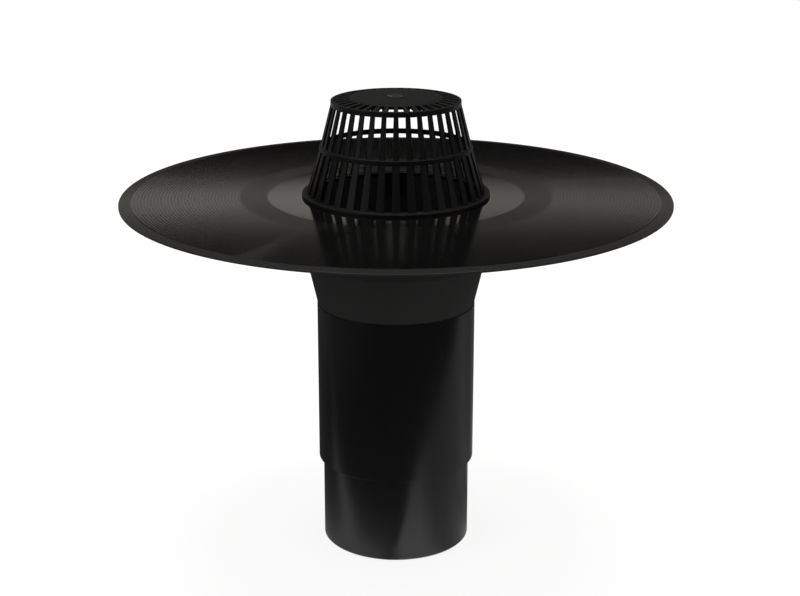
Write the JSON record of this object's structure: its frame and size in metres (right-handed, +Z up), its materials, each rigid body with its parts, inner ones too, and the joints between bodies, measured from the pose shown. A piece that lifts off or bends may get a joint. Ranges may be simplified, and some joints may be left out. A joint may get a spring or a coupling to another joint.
{
  "type": "flat roof drain",
  "caption": "Flat roof drain with a two-tier leaf guard on a wide ribbed flange, a conical funnel, a coupling sleeve and a plain spigot pipe.",
  "frame": {"origin": "centre of the spigot pipe's open end, the lowest point of the drain", "axes": "+Z up the drain's axis towards the leaf guard, -Y towards the viewer, a guard bar on -Y"},
  "size_m": [0.3999, 0.4, 0.3397],
  "materials": {
    "guard_plastic": "moulded black plastic with a dull sheen",
    "body_plastic": "moulded black plastic, glossy deck and ribbed flange",
    "sleeve_plastic": "drawn black tube with a satin gloss",
    "pipe_plastic": "drawn black tube with a satin gloss"
  },
  "bodies": {
    "root": {"leaf_guard": "guard_plastic", "drain_body": "body_plastic", "outlet_sleeve": "sleeve_plastic", "spigot_pipe": "pipe_plastic"}
  },
  "joints": []
}
